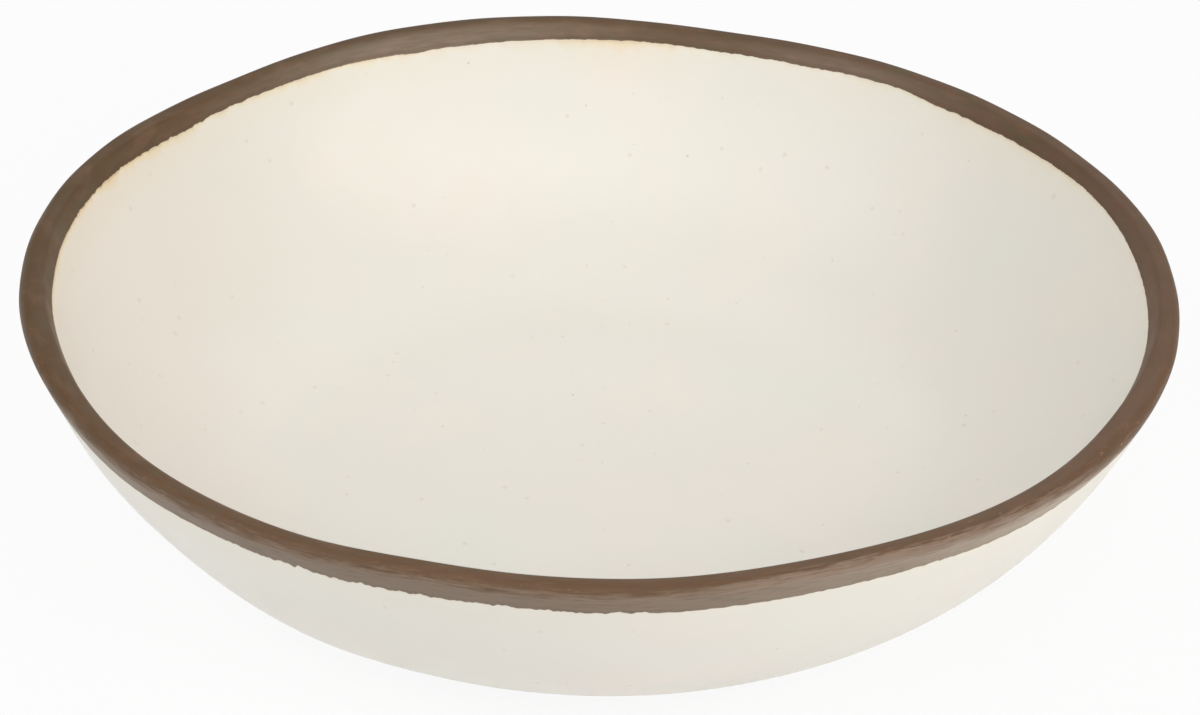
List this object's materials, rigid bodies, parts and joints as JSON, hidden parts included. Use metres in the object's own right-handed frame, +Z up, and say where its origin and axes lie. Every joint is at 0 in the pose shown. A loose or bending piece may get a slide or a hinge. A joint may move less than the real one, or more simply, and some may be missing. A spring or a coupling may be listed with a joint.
{
  "type": "buffet bowl",
  "caption": "Wide round serving bowl with a steep curved wall, a flat floor on a foot ring and a brown band round its gently waved lip.",
  "frame": {"origin": "middle of the foot ring, on the surface that the bowl stands on", "axes": "+Z up along the bowl's axis; -Y towards the viewer of the picture, +X to the right in it"},
  "size_m": [0.32, 0.32, 0.0798],
  "materials": {
    "cream_moulding": "warm cream, semi-matte, with sparse fine brown and grey flecks",
    "brown_rim": "semi-matte earth brown, streaked along the rim, with a slightly ragged edge"
  },
  "bodies": {
    "root": {"bowl_shell": "cream_moulding", "rim_band": "brown_rim"}
  },
  "joints": []
}
